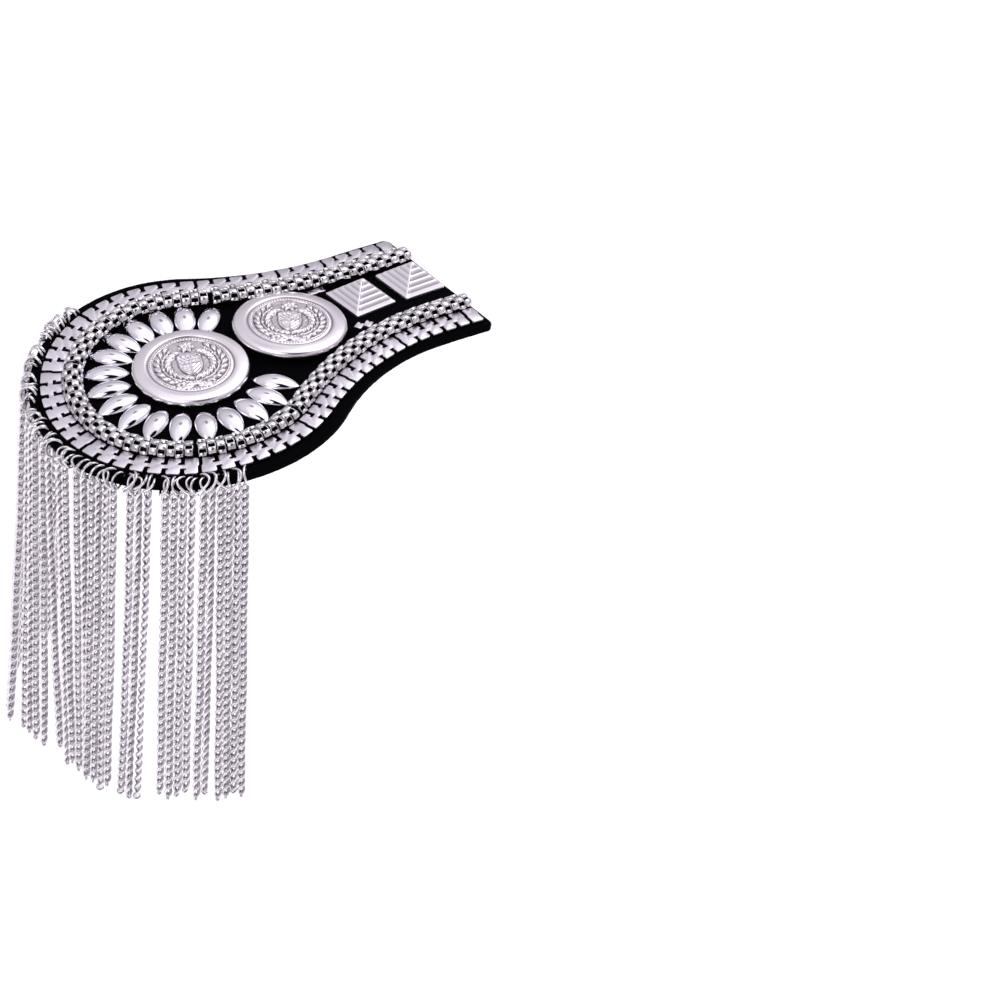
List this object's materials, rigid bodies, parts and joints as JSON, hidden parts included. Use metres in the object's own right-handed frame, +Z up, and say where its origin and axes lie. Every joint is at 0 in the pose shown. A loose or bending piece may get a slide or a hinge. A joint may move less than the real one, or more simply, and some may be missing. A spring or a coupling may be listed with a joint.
{
  "type": "chain epaulette",
  "caption": "Arched black felt shoulder epaulette edged with silver chains, set with relief buttons, petals and pyramid studs, with a hanging fringe of fine chains.",
  "frame": {"origin": "underside of the felt board at the crown of its arch, where it sits on the shoulder", "axes": "+X to the wearer's neck, -X to the round outer end with the fringe, -Y to the front, +Z up"},
  "size_m": [0.1525, 0.1058, 0.1362],
  "materials": {
    "black_felt": "matt felt",
    "flat_chain": "bright plated, flat",
    "mesh_chain": "bright plated, woven",
    "relief_button": "satin plated with a bright relief",
    "petal_metal": "mirror bright",
    "pyramid_stud": "bright plated, ridged",
    "ring_wire": "bright wire",
    "fringe_chain": "bright fine links",
    "steel_pin": "plain"
  },
  "bodies": {
    "root": {"felt_board": "black_felt", "flat_chain_01": "flat_chain", "flat_chain_02": "flat_chain", "flat_chain_03": "flat_chain", "flat_chain_04": "flat_chain", "flat_chain_05": "flat_chain", "flat_chain_06": "flat_chain", "flat_chain_07": "flat_chain", "flat_chain_08": "flat_chain", "flat_chain_09": "flat_chain", "flat_chain_10": "flat_chain", "flat_chain_11": "flat_chain", "flat_chain_12": "flat_chain", "flat_chain_13": "flat_chain", "mesh_chain_1": "mesh_chain", "mesh_chain_2": "mesh_chain", "mesh_chain_3": "mesh_chain", "mesh_chain_4": "mesh_chain", "mesh_chain_5": "mesh_chain", "outer_button": "relief_button", "inner_button": "relief_button", "petal_01": "petal_metal", "petal_02": "petal_metal", "petal_03": "petal_metal", "petal_04": "petal_metal", "petal_05": "petal_metal", "petal_06": "petal_metal", "petal_07": "petal_metal", "petal_08": "petal_metal", "petal_09": "petal_metal", "petal_10": "petal_metal", "petal_11": "petal_metal", "petal_12": "petal_metal", "petal_13": "petal_metal", "petal_14": "petal_metal", "petal_15": "petal_metal", "petal_16": "petal_metal", "petal_17": "petal_metal", "inner_stud": "pyramid_stud", "neck_stud": "pyramid_stud", "jump_rings_back": "ring_wire", "jump_rings_front": "ring_wire", "fringe_01": "fringe_chain", "fringe_02": "fringe_chain", "fringe_03": "fringe_chain", "fringe_04": "fringe_chain", "fringe_05": "fringe_chain", "fringe_06": "fringe_chain", "fringe_07": "fringe_chain", "fringe_08": "fringe_chain", "fringe_09": "fringe_chain", "fringe_10": "fringe_chain", "fringe_11": "fringe_chain", "fringe_12": "fringe_chain", "fringe_13": "fringe_chain", "outer_pin": "steel_pin", "neck_pin": "steel_pin"}
  },
  "joints": []
}
